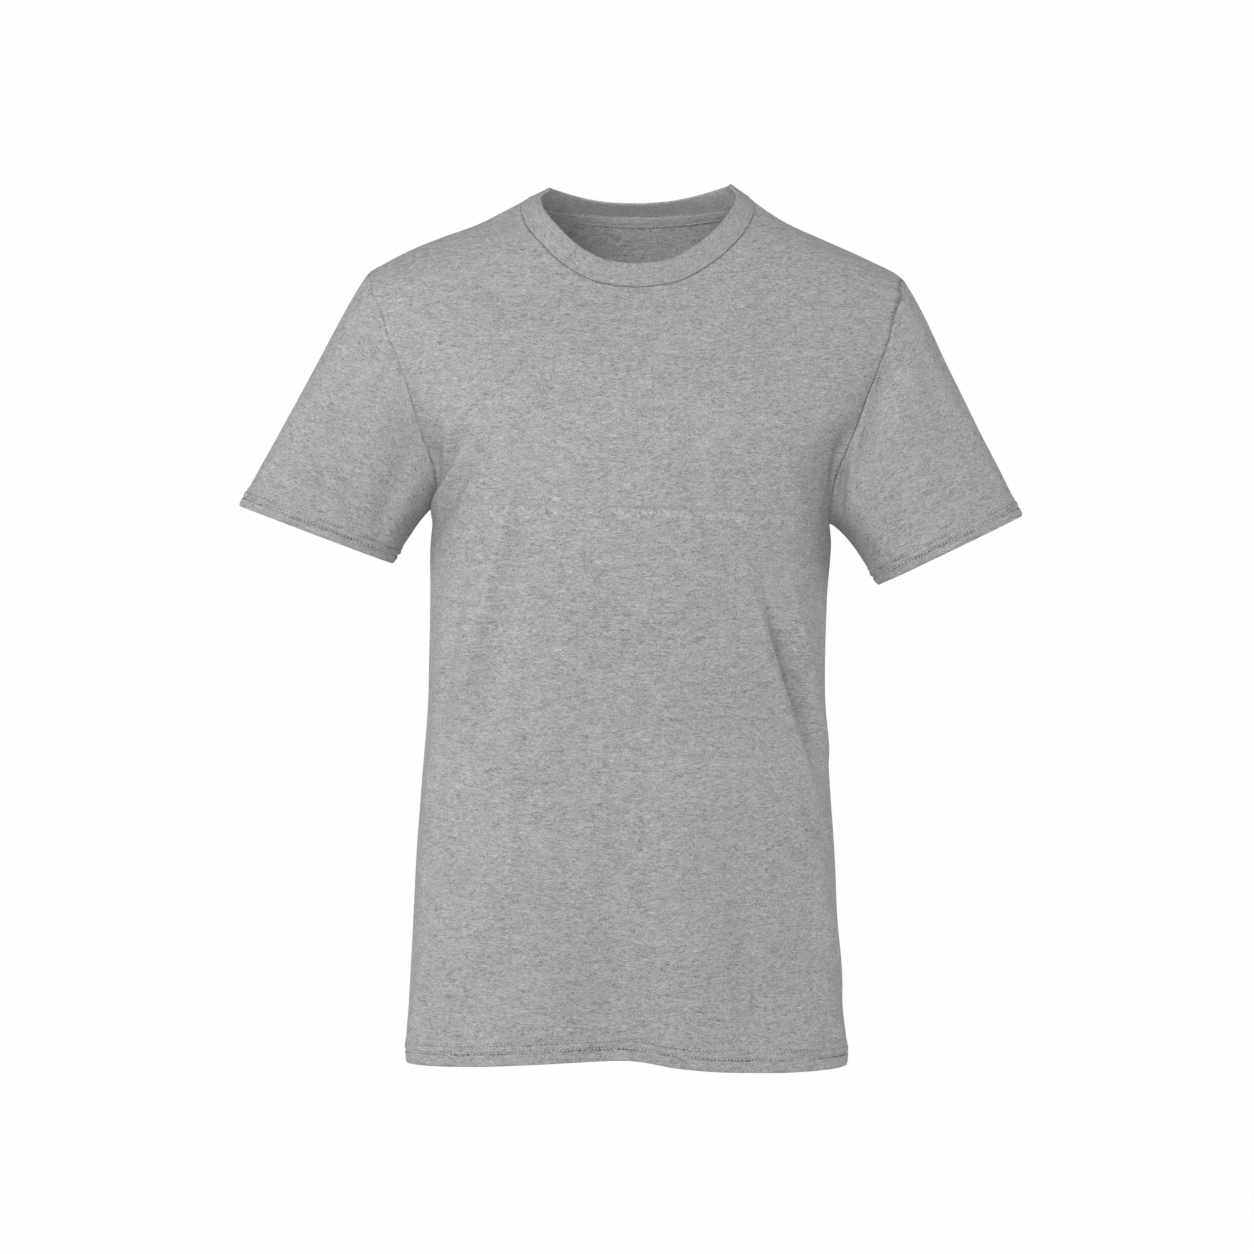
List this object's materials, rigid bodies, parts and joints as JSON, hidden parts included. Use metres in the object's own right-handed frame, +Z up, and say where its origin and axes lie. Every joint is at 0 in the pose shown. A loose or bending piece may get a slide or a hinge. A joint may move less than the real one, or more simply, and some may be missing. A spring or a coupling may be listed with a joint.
{
  "type": "crew neck t-shirt",
  "caption": "Worn-shape crew neck t-shirt in heather grey jersey, hollow, with set-in short sleeves, a rib collar and stitched hems.",
  "frame": {"origin": "on the shoulder line, at the middle of the neck, where the wearer's shoulders hold the shirt", "axes": "+Z up the body, the front faces -Y, the wearer's left is +X"},
  "size_m": [0.6383, 0.2372, 0.7181],
  "materials": {
    "heather_jersey": "heather grey single jersey knit, matt, soft nap",
    "heather_rib": "heather grey fine rib knit, matt",
    "neck_tape": "heather grey jersey tape, stitched on both edges",
    "sewing_thread": "matt grey thread"
  },
  "bodies": {
    "root": {"front_panel": "heather_jersey", "back_panel": "heather_jersey", "sleeve_right": "heather_jersey", "sleeve_left": "heather_jersey", "neck_rib": "heather_rib", "back_neck_tape": "neck_tape"}
  },
  "joints": []
}
